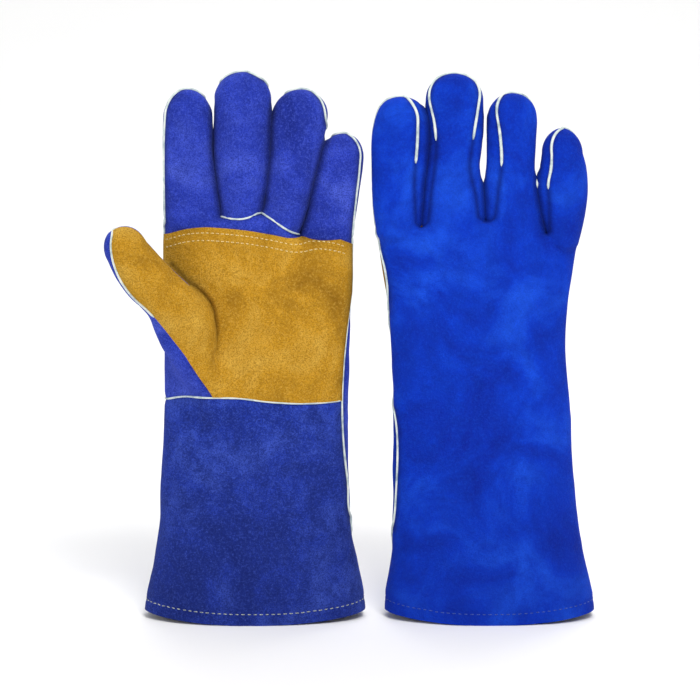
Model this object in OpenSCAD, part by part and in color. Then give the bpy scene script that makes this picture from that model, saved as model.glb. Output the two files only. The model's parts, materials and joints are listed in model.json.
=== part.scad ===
// A pair of heavy leather gauntlet gloves, standing on their cuffs, fingers up.
// The left glove shows its palm to -Y. The right glove shows its back to -Y.
// Every glove is first drawn with its palm to -Y, and the right one is then mirrored in Y.

/* [Pair] */
// Height from the hem to the middle fingertip
glove_h = 356; // [330:2:400]
// Centre line of the left glove
left_x = -60; // [-70:1:-60]
// Centre line of the right glove
right_x = 84; // [84:1:95]

/* [Leather] */
// Thickness of the split leather
leather_t = 1.6; // [1.2:0.1:1.8]
// Thickness of the lining
lining_t = 1.4; // [1.0:0.1:1.6]
// Height of the folded hem
hem_h = 9; // [6:1:12]

/* [Bends] */
// Largest bend at a knuckle, towards the palm
knuckle_bend = 45; // [20:1:45]
// Largest bend at a finger's middle joint, towards the palm
middle_bend = 50; // [20:1:50]
// Largest bend of a finger away from the palm
back_bend = 12; // [6:1:12]
// Largest bend at the wrist, either way
wrist_bend = 30; // [10:1:30]

/* [Hidden] */
k = glove_h / 356;
gap = 0.3;
seam_gap = 0.08;
round_n = 2.3;
spare_angle = 2.2;
wrist_z = 142;
liner_off = leather_t + 2 * gap;
patch_t = 1.3;
welt_t = 1.1;
welt_h = 2.2;
LEFT = 0;
RIGHT = 1;
// Shift that centres the pair, thumbs and all, on the origin.
pair_y = -6;
SIDES = ["left", "right"];
FINGERS = ["index", "middle", "ring", "little"];

// Outline of the cuff and hand: height, half width, centre, half thickness.
OUTLINE = [
    [
        [0, 72.4, -2.3, 33], [17, 70.3, -2.0, 31], [38, 66.3, -1.5, 28], [58, 62.6, -1.4, 25.5],
        [96, 60.8, -1.1, 22], [142, 59.2, -0.4, 19.5], [182, 60, 0, 18.5], [220, 61.3, 0, 17.5],
        [250, 61.8, 0, 16], [270, 62.5, 1, 15]
    ],
    [
        [0, 68.2, 4.7, 33], [20, 67.2, 4.7, 31], [34, 64.2, 4.1, 28.5], [50, 61, 3.3, 26.5],
        [63, 59.8, 2.3, 25], [96, 58.3, 1.3, 22], [142, 56.9, 0.2, 19.5], [183, 56.4, -2.5, 18.5],
        [222, 60, -2.5, 17.5], [250, 66, -1.6, 16], [270, 69, -0.5, 15]
    ]
];

// Fingers: knuckle x, knuckle y, knuckle z, tilt, length, half widths at base, middle joint and tip.
FINGER = [
    [
        [-43.5, 0, 267, -1.1, 78.6, [16, 16.2, 16.3]],
        [-9.8, -1, 268, 1, 88.5, [12.8, 15, 17.3]],
        [18.5, -2, 266, 8.4, 80.5, [12.2, 13.4, 15.4]],
        [45.3, 1.5, 257, 10.2, 60.5, [13.6, 14, 13.8]]
    ],
    [
        [-54.3, 0, 264, 2.0, 77.6, [15.2, 16, 16]],
        [-17.3, 0, 267, -0.4, 89.3, [15.2, 15.8, 17.4]],
        [21.3, 0, 266, -1.9, 78.7, [14.4, 15, 15.5]],
        [54.3, 0, 258, -2.2, 64, [13.8, 14.6, 13.8]]
    ]
];
finger_t = [13, 12.8, 12.2];
middle_joint = 0.48;
cap_len = 15;

// Thumb: its root on the palm, its direction when spread, and its length.
THUMB_ROOT = [-33, -21, 163];
THUMB_DIR = [-56.7, -14, 90];
thumb_len = 107;
thumb_mid = 62;
// Its half width, and its depth on each face, by distance along it. Its back starts higher, clear of the palm.
THUMB_WIDE = [[9, 7.6], [32, 14.2], [62, 15.2], [92, 14.6]];
THUMB_DEEP = [
    [[9, 6], [32, 10.4], [62, 12.2], [92, 11.4]],
    [[32, 4.6], [47, 11], [62, 12.2], [92, 11.4]]
];
THUMB_STATIONS = [[0, 0.39, 0.7, 1], [0, 0.5, 1]];
// Swing of the thumb across the palm, about a line through its root. The right thumb rests swung in.
THUMB_AXIS = [0, 0.743, 0.669];
THUMB_SWING = [0, 43];
thumb_hole_r = 12.5;
thumb_hole = [-39, 172];

// Top edge of the palm patch: distance across the hand, height.
PATCH_TOP = [[-64, 248], [-50, 252], [-30, 254.5], [0, 252.5], [24, 247.5], [45, 247], [64, 241]];
patch_side = 0.88;

PIECES = concat(
    ["cuff_palm_panel", "cuff_back_panel", "cuff_hem", "cuff_liner", "wrist_welt"],
    ["palm_panel", "back_panel", "palm_patch", "hand_liner", "finger_welt"],
    [for (digit = concat(FINGERS, ["thumb"]), part = ["base", "tip"], face = ["palm", "back"])
        str(digit, "_", part, "_", face)]
);

// ---- Shapes that repeat ----

function column(table, i) = [for (row = table) [row[0], row[i]]];
function half_w(side, z) = lookup(z, column(OUTLINE[side], 1));
function centre(side, z) = lookup(z, column(OUTLINE[side], 2));
function half_t(side, z) = lookup(z, column(OUTLINE[side], 3));
// Depth of a rounded section at a share of its half width, from 1 at the middle to 0 at the side.
function depth(share) = pow(max(0, 1 - pow(abs(share), round_n)), 1 / round_n);

// A closed solid between two grids of points, which have the same rows and columns.
module skin(outer, inner) {
    rows = len(outer);
    cols = len(outer[0]);
    n = rows * cols;
    points = concat([for (r = outer) each r], [for (r = inner) each r]);
    at = function(r, c, layer) layer * n + r * cols + c;
    faces = concat(
        [for (r = [0 : rows - 2], c = [0 : cols - 2]) each [
            [at(r, c, 0), at(r + 1, c, 0), at(r + 1, c + 1, 0)],
            [at(r, c, 0), at(r + 1, c + 1, 0), at(r, c + 1, 0)],
            [at(r, c, 1), at(r + 1, c + 1, 1), at(r + 1, c, 1)],
            [at(r, c, 1), at(r, c + 1, 1), at(r + 1, c + 1, 1)]
        ]],
        [for (c = [0 : cols - 2]) each [
            [at(0, c, 0), at(0, c + 1, 0), at(0, c + 1, 1)],
            [at(0, c, 0), at(0, c + 1, 1), at(0, c, 1)],
            [at(rows - 1, c, 0), at(rows - 1, c + 1, 1), at(rows - 1, c + 1, 0)],
            [at(rows - 1, c, 0), at(rows - 1, c, 1), at(rows - 1, c + 1, 1)]
        ]],
        [for (r = [0 : rows - 2]) each [
            [at(r, 0, 0), at(r + 1, 0, 1), at(r + 1, 0, 0)],
            [at(r, 0, 0), at(r, 0, 1), at(r + 1, 0, 1)],
            [at(r, cols - 1, 0), at(r + 1, cols - 1, 0), at(r + 1, cols - 1, 1)],
            [at(r, cols - 1, 0), at(r + 1, cols - 1, 1), at(r, cols - 1, 1)]
        ]]
    );
    polyhedron(points = points, faces = faces, convexity = 6);
}

// Puts a glove in its place in the pair.
module place(side) {
    scale(k) translate([side == LEFT ? left_x : right_x, pair_y, 0])
        mirror([0, side == RIGHT ? 1 : 0, 0]) children();
}

// ---- Cuff and hand ----

// Height of the finger bases across the hand, as a line that touches each finger's lower edge.
function base_line(side) = [for (f = FINGER[side]) each [
    [f[0] - f[5][0], f[2] + f[5][0] * tan(f[3])],
    [f[0] + f[5][0], f[2] - f[5][0] * tan(f[3])]
]];
// Shares of the half width where the cuff and hand are sampled, each finger's edges among them.
function shares(side) =
    let (top = 270, w = half_w(side, top), c = centre(side, top))
    concat([-1, -0.97, -0.88],
        [for (i = [0 : 3], e = [-1 : 1]) if (!(i == 0 && e == -1) && !(i == 3 && e == 1))
            (FINGER[side][i][0] + e * FINGER[side][i][5][0] - c) / w],
        [0.88, 0.97, 1]);

// A point on the cuff or hand, off millimetres inside the leather's outer face. face is -1 for the palm.
function hand_point(side, z, share, off, face) = [
    centre(side, z) + (half_w(side, z) - off) * share,
    face * ((half_t(side, z) - off) * depth(share) + seam_gap),
    z
];
// Height of the cut at the wrist: above it for the hand (up = 1), below it for the cuff (up = -1).
function wrist_cut(y, up) = wrist_z + up * (gap / 2 + abs(y) * tan(wrist_bend / 2 + spare_angle));
// Height of the cut under the fingers.
function finger_cut(side, x, y, face) =
    lookup(x, base_line(side)) - gap
    - (abs(y) + 2) * tan((face < 0 ? knuckle_bend : back_bend) / 2 + spare_angle);
// The height of row v, from 0 to 1, between two cuts, at a point of the section.
function mix(a, b, v) = a + (b - a) * v;

// Half of the cuff, from z_low up to the wrist cut.
module cuff_half(side, off, thick, z_low, face, rows) {
    grid = function(o) [for (v = [0 : rows]) [for (s = shares(side))
        let (top = wrist_cut((half_t(side, wrist_z) - o) * depth(s), -1))
        hand_point(side, mix(z_low, top, v / rows), s, o, face)]];
    if (face < 0) skin(grid(off), grid(off + thick));
    else mirror_skin(grid(off), grid(off + thick));
}

// Half of the hand, from the wrist cut to the cut under the fingers, which lower moves down.
module hand_half(side, off, thick, face, rows, lower) {
    grid = function(o) [for (v = [0 : rows]) [for (s = shares(side))
        let (
            low = wrist_cut((half_t(side, wrist_z) - o) * depth(s), 1),
            top_x = centre(side, 265) + (half_w(side, 265) - o) * s,
            top = finger_cut(side, top_x, (half_t(side, 258) - o) * depth(s), face) - lower
        )
        hand_point(side, mix(low, top, v / rows), s, o, face)]];
    if (face < 0) skin(grid(off), grid(off + thick));
    else mirror_skin(grid(off), grid(off + thick));
}

// The same solid with its rows reversed, for the face that looks the other way.
module mirror_skin(outer, inner) {
    last = len(outer) - 1;
    skin([for (i = [last : -1 : 0]) outer[i]], [for (i = [last : -1 : 0]) inner[i]]);
}

// The hole in the palm that the thumb opens from.
module thumb_opening() {
    translate([thumb_hole[0], -10, thumb_hole[1]]) rotate([90, 0, 0])
        cylinder(r = thumb_hole_r, h = 40, $fn = 32);
}

module cuff_panel(side, face) {
    color("mediumblue") place(side)
        cuff_half(side, 0, leather_t, hem_h + gap, face, 6);
}

module cuff_hem(side) {
    section = function(off) [for (a = [0 : 7.5 : 359])
        let (p = hand_point(side, hem_h / 2, 0, 0, -1), c = centre(side, 0))
        [
            c + (half_w(side, hem_h / 2) - off) * sign(cos(a)) * pow(abs(cos(a)), 2 / round_n),
            (half_t(side, hem_h / 2) - off) * sign(sin(a)) * pow(abs(sin(a)), 2 / round_n)
        ]];
    color("midnightblue") place(side)
        linear_extrude(hem_h) difference() {
            polygon(section(0));
            polygon(section(2 * leather_t));
        }
}

module cuff_liner(side) {
    color("beige") place(side) {
        cuff_half(side, liner_off, lining_t, hem_h + gap, -1, 6);
        cuff_half(side, liner_off, lining_t, hem_h + gap, 1, 6);
    }
}

// Piping along the palm side of the wrist seam.
module wrist_welt(side) {
    grid = function(o) [for (v = [0 : 1]) [for (s = shares(side)) if (abs(s) < 0.98)
        let (top = wrist_cut(half_t(side, wrist_z) * depth(s) + welt_t, -1))
        hand_point(side, top - welt_h * (1 - v), s, o, -1)]];
    color("white") place(side) skin(grid(-gap - welt_t), grid(-gap));
}

module palm_panel(side) {
    color("mediumblue") place(side) difference() {
        hand_half(side, 0, leather_t, -1, 4, 0);
        thumb_opening();
    }
}

module back_panel(side) {
    color("mediumblue") place(side) hand_half(side, 0, leather_t, 1, 4, 0);
}

module hand_liner(side) {
    color("beige") place(side) {
        difference() {
            hand_half(side, liner_off, lining_t, -1, 4, 1);
            thumb_opening();
        }
        hand_half(side, liner_off, lining_t, 1, 4, 1);
    }
}

// The reinforcement over the palm.
module palm_patch(side) {
    kept = [for (s = shares(side)) if (abs(s) <= patch_side) s];
    grid = function(o) [for (v = [0 : 4]) [for (s = kept)
        let (
            low = wrist_cut(half_t(side, wrist_z) * depth(s) - o, 1) + welt_h,
            x = centre(side, 250) + half_w(side, 250) * s,
            rim = finger_cut(side, x, half_t(side, 250) + patch_t + gap, -1) - gap,
            top = min(lookup(x, PATCH_TOP), rim)
        )
        hand_point(side, mix(low, top, v / 4), s, o, -1)]];
    color("goldenrod") place(side) difference() {
        skin(grid(-gap - patch_t), grid(-gap));
        thumb_opening();
    }
}

// Piping under the middle and ring fingers, on the palm side.
module finger_welt(side) {
    from = FINGER[side][1][0] - FINGER[side][1][5][0] + 1;
    to = FINGER[side][2][0] + FINGER[side][2][5][0] - 1;
    grid = function(o) [for (v = [0 : 1]) [for (i = [0 : 6])
        let (
            x = mix(from, to, i / 6),
            s = (x - centre(side, 262)) / half_w(side, 262),
            top = finger_cut(side, x, half_t(side, 258) + welt_t + gap, -1) - gap
        )
        hand_point(side, top - welt_h * (1 - v), s, o, -1)]];
    color("white") place(side) skin(grid(-gap - welt_t), grid(-gap));
}

// ---- Fingers and thumb ----

SECTION = [-1, -0.92, -0.6, 0, 0.6, 0.92, 1];

// A point of a digit in its own frame: X across, Y through, Z along. Its end closes to a rounded tip.
// w and t are tables of half width and depth by distance along it.
function digit_point(s, share, len_, w, t, off, face) =
    let (
        q = max(0, (s - (len_ - cap_len)) / cap_len),
        wide = lookup(s, w) * sqrt(1 - 0.88 * q * q),
        deep = lookup(s, t) * sqrt(1 - 0.97 * q * q)
    )
    [(wide - off) * share, face * (max(0.06, (deep - off) * depth(share)) + seam_gap), s];

// Half of a digit between two cuts. Each end leans into the digit by an angle.
module digit_half(len_, w, t, from, to, lean_from, lean_to, face, stations) {
    grid = function(o) [for (v = stations) [for (share = SECTION)
        let (
            low = digit_point(from, share, len_, w, t, o, face),
            high = digit_point(to, share, len_, w, t, o, face),
            s0 = from + abs(low[1]) * tan(lean_from),
            s1 = to - abs(high[1]) * tan(lean_to)
        )
        digit_point(mix(s0, s1, v), share, len_, w, t, o, face)]];
    if (face < 0) skin(grid(0), grid(leather_t));
    else mirror_skin(grid(0), grid(leather_t));
}

BASE_STATIONS = [0, 0.5, 1];
TIP_STATIONS = [0, 0.35, 0.62, 0.78, 0.9, 0.97, 1];

module finger(side, i, tip, face) {
    f = FINGER[side][i];
    mid = f[4] * middle_joint;
    knots = [0, mid, f[4] - cap_len];
    w = [for (n = [0 : 2]) [knots[n], f[5][n]]];
    t = [for (n = [0 : 2]) [knots[n], finger_t[n]]];
    lean = function(bend) (face < 0 ? bend : back_bend) / 2 + spare_angle;
    color("mediumblue") place(side)
        translate([f[0], f[1], f[2]]) rotate([0, f[3], 0])
            if (tip) digit_half(f[4], w, t, mid + gap / 2, f[4],
                lean(middle_bend), 0, face, TIP_STATIONS);
            else digit_half(f[4], w, t, gap, mid - gap / 2,
                lean(knuckle_bend), lean(middle_bend), face, BASE_STATIONS);
}

// Turns the thumb's own frame, Z along it, to its place when spread.
module thumb_place(side) {
    dir = THUMB_DIR / norm(THUMB_DIR);
    lean_x = asin(-dir[1]);
    turn_y = atan2(dir[0], dir[2]);
    translate(THUMB_ROOT) rotate(a = THUMB_SWING[side], v = THUMB_AXIS)
        rotate([0, turn_y, 0]) rotate([lean_x, 0, 0]) children();
}

module thumb(side, tip, face) {
    lean = function(bend) (face < 0 ? bend : back_bend) / 2 + spare_angle;
    deep = THUMB_DEEP[face < 0 ? 0 : 1];
    color(face < 0 ? "goldenrod" : "mediumblue") place(side) thumb_place(side)
        if (tip) digit_half(thumb_len, THUMB_WIDE, deep, thumb_mid + gap / 2, thumb_len,
            lean(knuckle_bend), 0, face, TIP_STATIONS);
        else digit_half(thumb_len, THUMB_WIDE, deep, deep[0][0], thumb_mid - gap / 2,
            0, lean(knuckle_bend), face, THUMB_STATIONS[face < 0 ? 0 : 1]);
}

// ---- Nodes ----

cuff_panel(LEFT, -1);  // left_cuff_palm_panel
cuff_panel(LEFT, 1);  // left_cuff_back_panel
cuff_hem(LEFT);  // left_cuff_hem
cuff_liner(LEFT);  // left_cuff_liner
wrist_welt(LEFT);  // left_wrist_welt
palm_panel(LEFT);  // left_palm_panel
back_panel(LEFT);  // left_back_panel
palm_patch(LEFT);  // left_palm_patch
hand_liner(LEFT);  // left_hand_liner
finger_welt(LEFT);  // left_finger_welt
finger(LEFT, 0, false, -1);  // left_index_base_palm
finger(LEFT, 0, false, 1);  // left_index_base_back
finger(LEFT, 0, true, -1);  // left_index_tip_palm
finger(LEFT, 0, true, 1);  // left_index_tip_back
finger(LEFT, 1, false, -1);  // left_middle_base_palm
finger(LEFT, 1, false, 1);  // left_middle_base_back
finger(LEFT, 1, true, -1);  // left_middle_tip_palm
finger(LEFT, 1, true, 1);  // left_middle_tip_back
finger(LEFT, 2, false, -1);  // left_ring_base_palm
finger(LEFT, 2, false, 1);  // left_ring_base_back
finger(LEFT, 2, true, -1);  // left_ring_tip_palm
finger(LEFT, 2, true, 1);  // left_ring_tip_back
finger(LEFT, 3, false, -1);  // left_little_base_palm
finger(LEFT, 3, false, 1);  // left_little_base_back
finger(LEFT, 3, true, -1);  // left_little_tip_palm
finger(LEFT, 3, true, 1);  // left_little_tip_back
thumb(LEFT, false, -1);  // left_thumb_base_palm
thumb(LEFT, false, 1);  // left_thumb_base_back
thumb(LEFT, true, -1);  // left_thumb_tip_palm
thumb(LEFT, true, 1);  // left_thumb_tip_back

cuff_panel(RIGHT, -1);  // right_cuff_palm_panel
cuff_panel(RIGHT, 1);  // right_cuff_back_panel
cuff_hem(RIGHT);  // right_cuff_hem
cuff_liner(RIGHT);  // right_cuff_liner
wrist_welt(RIGHT);  // right_wrist_welt
palm_panel(RIGHT);  // right_palm_panel
back_panel(RIGHT);  // right_back_panel
palm_patch(RIGHT);  // right_palm_patch
hand_liner(RIGHT);  // right_hand_liner
finger_welt(RIGHT);  // right_finger_welt
finger(RIGHT, 0, false, -1);  // right_index_base_palm
finger(RIGHT, 0, false, 1);  // right_index_base_back
finger(RIGHT, 0, true, -1);  // right_index_tip_palm
finger(RIGHT, 0, true, 1);  // right_index_tip_back
finger(RIGHT, 1, false, -1);  // right_middle_base_palm
finger(RIGHT, 1, false, 1);  // right_middle_base_back
finger(RIGHT, 1, true, -1);  // right_middle_tip_palm
finger(RIGHT, 1, true, 1);  // right_middle_tip_back
finger(RIGHT, 2, false, -1);  // right_ring_base_palm
finger(RIGHT, 2, false, 1);  // right_ring_base_back
finger(RIGHT, 2, true, -1);  // right_ring_tip_palm
finger(RIGHT, 2, true, 1);  // right_ring_tip_back
finger(RIGHT, 3, false, -1);  // right_little_base_palm
finger(RIGHT, 3, false, 1);  // right_little_base_back
finger(RIGHT, 3, true, -1);  // right_little_tip_palm
finger(RIGHT, 3, true, 1);  // right_little_tip_back
thumb(RIGHT, false, -1);  // right_thumb_base_palm
thumb(RIGHT, false, 1);  // right_thumb_base_back
thumb(RIGHT, true, -1);  // right_thumb_tip_palm
thumb(RIGHT, true, 1);  // right_thumb_tip_back
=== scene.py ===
"""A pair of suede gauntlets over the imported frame: shaped leather panels, piping in the seams, stitching and lining.

Each glove is one implicit surface, in millimetres in the glove's own frame: X across with the thumb at -X, the palm
towards -Y, Z up from the hem. The surface is meshed, given its folds, then cut along its seams into leather panels.
"""
import json

import bpy
import numpy as np
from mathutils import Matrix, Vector
from mathutils.bvhtree import BVHTree


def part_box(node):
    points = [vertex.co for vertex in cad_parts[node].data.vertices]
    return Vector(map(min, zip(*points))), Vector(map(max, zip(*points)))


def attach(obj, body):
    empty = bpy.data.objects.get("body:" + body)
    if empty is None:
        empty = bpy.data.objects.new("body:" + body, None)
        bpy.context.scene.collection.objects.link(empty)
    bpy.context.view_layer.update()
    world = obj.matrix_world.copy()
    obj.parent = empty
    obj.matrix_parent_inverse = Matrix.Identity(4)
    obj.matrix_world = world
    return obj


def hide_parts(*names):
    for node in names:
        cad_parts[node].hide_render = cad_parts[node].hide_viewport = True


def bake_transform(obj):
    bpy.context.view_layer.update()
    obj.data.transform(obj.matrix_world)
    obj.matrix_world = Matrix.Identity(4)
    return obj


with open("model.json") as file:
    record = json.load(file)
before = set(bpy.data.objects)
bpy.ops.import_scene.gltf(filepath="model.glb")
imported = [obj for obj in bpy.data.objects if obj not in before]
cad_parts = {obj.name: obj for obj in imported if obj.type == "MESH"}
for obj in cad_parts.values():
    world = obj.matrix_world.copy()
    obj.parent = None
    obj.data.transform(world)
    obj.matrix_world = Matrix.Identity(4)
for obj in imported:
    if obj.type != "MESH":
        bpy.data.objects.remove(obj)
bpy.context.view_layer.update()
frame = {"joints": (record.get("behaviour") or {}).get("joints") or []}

FINGERS = ("index", "middle", "ring", "little")
LEATHER = 1.6
RNG = np.random.default_rng(7)
# The powers of the superellipse sections of the hand and cuff, and of the fingers and thumbs.
SECTION, DIGIT_SECTION = 2.3, 2.2
# The fingers are meshed this much thinner and swelled afterwards, so that their gaps may close.
SPARE = 1.0
# Where a finger's middle joint is, as a share of its length. Its panels meet halfway to that joint.
MIDDLE_JOINT = 0.48
# How far along the thumb its two pairs of panels meet.
THUMB_SPLIT = 42.0


def joint(name):
    return next(j for j in frame["joints"] if j["name"] == name)


# ---- Camera and stage ----------------------------------------------------------------------------------------------


def look_at(obj, target):
    obj.rotation_euler = (Vector(target) - obj.location).to_track_quat("-Z", "Y").to_euler()


def make_camera():
    """Straight in front and a little above, far enough away that the gloves look nearly flat on."""
    cam = bpy.data.objects.new("camera", bpy.data.cameras.new("camera"))
    bpy.context.collection.objects.link(cam)
    distance, rise, height, width_seen = 2.3, np.radians(9), 0.1755, 0.4568
    cam.location = (0, -distance * np.cos(rise), height + distance * np.sin(rise))
    look_at(cam, (0.0005, 0, height))
    cam.data.sensor_width = 36
    cam.data.lens = cam.data.sensor_width * distance / width_seen
    cam.data.clip_end = 50
    bpy.context.scene.camera = cam
    bpy.context.scene.view_settings.view_transform = "Standard"


def make_stage():
    """A pale floor that curves up into a backdrop."""
    bend = 1.2
    profile = [(-3.0, 0.0), (bend, 0.0)]
    profile += [(bend + bend * np.sin(a), bend - bend * np.cos(a)) for a in np.linspace(0.1, np.pi / 2, 14)]
    profile.append((2 * bend, 4.5))
    verts = [(x, y, z) for y, z in profile for x in (-4.5, 4.5)]
    faces = [(2 * i, 2 * i + 1, 2 * i + 3, 2 * i + 2) for i in range(len(profile) - 1)]
    mesh = bpy.data.meshes.new("floor")
    mesh.from_pydata(verts, [], faces)
    mesh.polygons.foreach_set("use_smooth", [True] * len(faces))
    floor = bpy.data.objects.new("floor", mesh)
    bpy.context.collection.objects.link(floor)
    mat = bpy.data.materials.new("floor_paper")
    mat.use_nodes = True
    bsdf = mat.node_tree.nodes["Principled BSDF"]
    bsdf.inputs["Base Color"].default_value = (0.93, 0.93, 0.93, 1)
    bsdf.inputs["Roughness"].default_value = 0.9
    mesh.materials.append(mat)


def make_lights():
    def area(name, location, target, size, power, color):
        light = bpy.data.lights.new(name, "AREA")
        light.shape = "RECTANGLE"
        light.size, light.size_y = size
        light.energy = power
        light.color = color
        obj = bpy.data.objects.new(name, light)
        bpy.context.collection.objects.link(obj)
        obj.location = location
        look_at(obj, target)

    # The key is warm and high on the right, the fill cool and low on the left, and the rim behind.
    area("key", (0.5, -1.5, 1.9), (0, 0, 0.18), (0.8, 0.8), 34, (1, 0.99, 0.97))
    area("fill", (-1.5, -1.4, 0.6), (0, 0, 0.18), (1.0, 1.0), 6, (0.97, 0.98, 1))
    area("rim", (0.2, 1.2, 1.6), (0, 0, 0.2), (1.4, 0.8), 14, (1, 1, 1))
    world = bpy.data.worlds.new("studio")
    world.use_nodes = True
    back = world.node_tree.nodes.get("Background") or world.node_tree.nodes.new("ShaderNodeBackground")
    out = world.node_tree.nodes.get("World Output") or world.node_tree.nodes.new("ShaderNodeOutputWorld")
    back.inputs["Color"].default_value = (1, 1, 1, 1)
    back.inputs["Strength"].default_value = 0.62
    world.node_tree.links.new(back.outputs[0], out.inputs[0])
    bpy.context.scene.world = world


# ---- Materials -----------------------------------------------------------------------------------------------------


class Nodes:
    """A material's node tree, with short calls for the nodes that the leathers share."""

    def __init__(self, name):
        self.mat = bpy.data.materials.new(name)
        self.mat.use_nodes = True
        self.tree = self.mat.node_tree
        self.bsdf = self.tree.nodes["Principled BSDF"]
        self.at = self.attribute("rest", "Vector")

    def add(self, kind, **settings):
        node = self.tree.nodes.new(kind)
        for key, value in settings.items():
            setattr(node, key, value)
        return node

    def link(self, source, node, key):
        self.tree.links.new(source, node.inputs[key])

    def finish(self, color, roughness, normal, more=()):
        """Sets the shader and returns the material. more gives further inputs by name."""
        self.link(color, self.bsdf, "Base Color")
        self.link(normal, self.bsdf, "Normal")
        self.bsdf.inputs["Roughness"].default_value = roughness
        for key, value in dict(more).items():
            self.bsdf.inputs[key].default_value = value
        return self.mat

    def noise(self, scale, detail=3.0, roughness=0.55, distortion=0.0, vector=None):
        """scale is features per metre."""
        node = self.add("ShaderNodeTexNoise")
        node.inputs["Scale"].default_value = scale
        node.inputs["Detail"].default_value = detail
        node.inputs["Roughness"].default_value = roughness
        node.inputs["Distortion"].default_value = distortion
        self.link(vector or self.at, node, "Vector")
        return node.outputs["Fac"]

    def ramp(self, source, stops):
        """stops is a list of (position, colour)."""
        node = self.add("ShaderNodeValToRGB")
        ramp = node.color_ramp
        while len(ramp.elements) < len(stops):
            ramp.elements.new(0.5)
        for element, (position, color) in zip(ramp.elements, stops):
            element.position = position
            element.color = (*color, 1)
        self.link(source, node, "Fac")
        return node.outputs["Color"]

    def over(self, color, mask, share, top):
        """The constant colour top over color, by mask times share."""
        node = self.add("ShaderNodeMix", data_type="RGBA")
        self.link(self.times(mask, share), node, 0)
        self.link(color, node, 6)
        node.inputs[7].default_value = (*top, 1)
        return node.outputs[2]

    def attribute(self, name, output="Fac"):
        return self.add("ShaderNodeAttribute", attribute_name=name).outputs[output]

    def times(self, source, factor):
        node = self.add("ShaderNodeMath", operation="MULTIPLY")
        self.link(source, node, 0)
        node.inputs[1].default_value = factor
        return node.outputs[0]

    def bump(self, height, strength, distance, below=None):
        node = self.add("ShaderNodeBump")
        node.inputs["Strength"].default_value = strength
        node.inputs["Distance"].default_value = distance
        self.link(height, node, "Height")
        if below is not None:
            self.link(below, node, "Normal")
        return node.outputs["Normal"]


def srgb(r, g, b):
    return tuple(((c / 255 + 0.055) / 1.055) ** 2.4 if c > 10 else c / 255 / 12.92 for c in (r, g, b))


def suede(name, deep, mid, pale, mottle=1.0, sheen=0.15, grit=1.0, darker_to_hem=None):
    """Split leather: blotches of dye, streaks, a brushed nap with fine specks, and a soft sheen on its slopes.
    The last argument is how much darker it gets towards the hem."""
    n = Nodes(name)
    stretched = n.add("ShaderNodeMapping")
    stretched.inputs["Scale"].default_value = (1, 1, 0.4)
    n.link(n.at, stretched, "Vector")
    patch = n.noise(70, 5, 0.65, 0.5)
    streak = n.noise(60, 4, 0.6, 0.3, stretched.outputs[0])
    grain = n.noise(640, 3, 0.75)
    fibre = n.noise(900, 5, 0.72, 1.2, stretched.outputs[0])
    color = n.ramp(n.noise(20, 5, 0.62, 0.7), [(0.32, deep), (0.50, mid), (0.68, pale)])
    dark = [0.45 * c for c in mid]
    # Each layer: its noise, the values where it is full and where it ends, its strength and colour.
    layers = [
        (patch, 0.36, 0.56, 0.42 * mottle, dark),
        (streak, 0.36, 0.54, 0.3 * mottle, dark),
        (grain, 0.68, 0.47, 0.55 * grit, pale),
        (n.noise(1300, 2, 0.7), 0.38, 0.56, 0.75 * grit, deep),
    ]
    # Darker towards the hem, by height.
    if darker_to_hem:
        split = n.add("ShaderNodeSeparateXYZ")
        n.link(n.at, split, "Vector")
        layers.append((n.times(split.outputs["Z"], 6.0), 0.1, 0.85, darker_to_hem, [0.5 * c for c in deep]))
    for source, full, none, share, top in layers:
        color = n.over(color, n.ramp(source, sorted([(full, (1, 1, 1)), (none, (0, 0, 0))])), share, top)
    # Darkening from the seam attribute: wear along the seams, and painted shade between the fingers and in the thumb's
    # fold.
    color = n.over(color, n.attribute("seam"), 0.75, [0.25 * c for c in deep])
    coarse = n.bump(patch, 0.5, 0.0016)
    medium = n.bump(grain, 0.9, 0.0011, coarse)
    return n.finish(color, 0.9, n.bump(fibre, 0.8, 0.0006, medium), {
        "Specular IOR Level": 0.12,
        "Sheen Weight": sheen,
        "Sheen Roughness": 0.45,
        "Sheen Tint": (*(min(1, 2 * c + 0.1) for c in pale), 1),
    })


def piping_leather():
    """The white strip in the seams: smooth grain leather, a little soiled."""
    n = Nodes("welt_leather")
    stops = [(0.33, srgb(150, 168, 176)), (0.5, srgb(200, 212, 208)), (0.7, srgb(226, 230, 222))]
    color = n.ramp(n.noise(160, 4, 0.6), stops)
    return n.finish(color, 0.55, n.bump(n.noise(900, 3, 0.6), 0.4, 0.0003))


def thread(name, pale, deep):
    """Two-ply sewing thread: its twist runs as slanted bands."""
    n = Nodes(name)
    wave = n.add("ShaderNodeTexWave", wave_type="BANDS", bands_direction="DIAGONAL")
    wave.inputs["Scale"].default_value = 420
    wave.inputs["Distortion"].default_value = 1.0
    n.link(n.at, wave, "Vector")
    twist = wave.outputs["Fac"]
    return n.finish(n.ramp(twist, [(0.25, deep), (0.75, pale)]), 0.6, n.bump(twist, 0.5, 0.0003))


def fleece():
    """The lining: short pile, cream."""
    n = Nodes("lining_fleece")
    curl = n.noise(320, 5, 0.7, 1.5)
    color = n.ramp(curl, [(0.3, srgb(176, 166, 142)), (0.7, srgb(236, 229, 210))])
    return n.finish(color, 0.95, n.bump(curl, 0.9, 0.0015), {"Sheen Weight": 0.3})


# ---- Curves and fields ---------------------------------------------------------------------------------------------


def curve(x, points):
    """A smooth curve through (x, y) points, flat beyond its ends."""
    xs, ys = np.array(points, float).T
    slope = np.gradient(ys, xs)
    i = np.clip(np.searchsorted(xs, x) - 1, 0, len(xs) - 2)
    h = xs[i + 1] - xs[i]
    t = np.clip((x - xs[i]) / h, 0, 1)
    a, b = ys[i], ys[i + 1]
    return (
        (1 + 2 * t) * (1 - t) ** 2 * a
        + t * (1 - t) ** 2 * h * slope[i]
        + t * t * (3 - 2 * t) * b
        + t * t * (t - 1) * h * slope[i + 1]
    )


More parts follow.
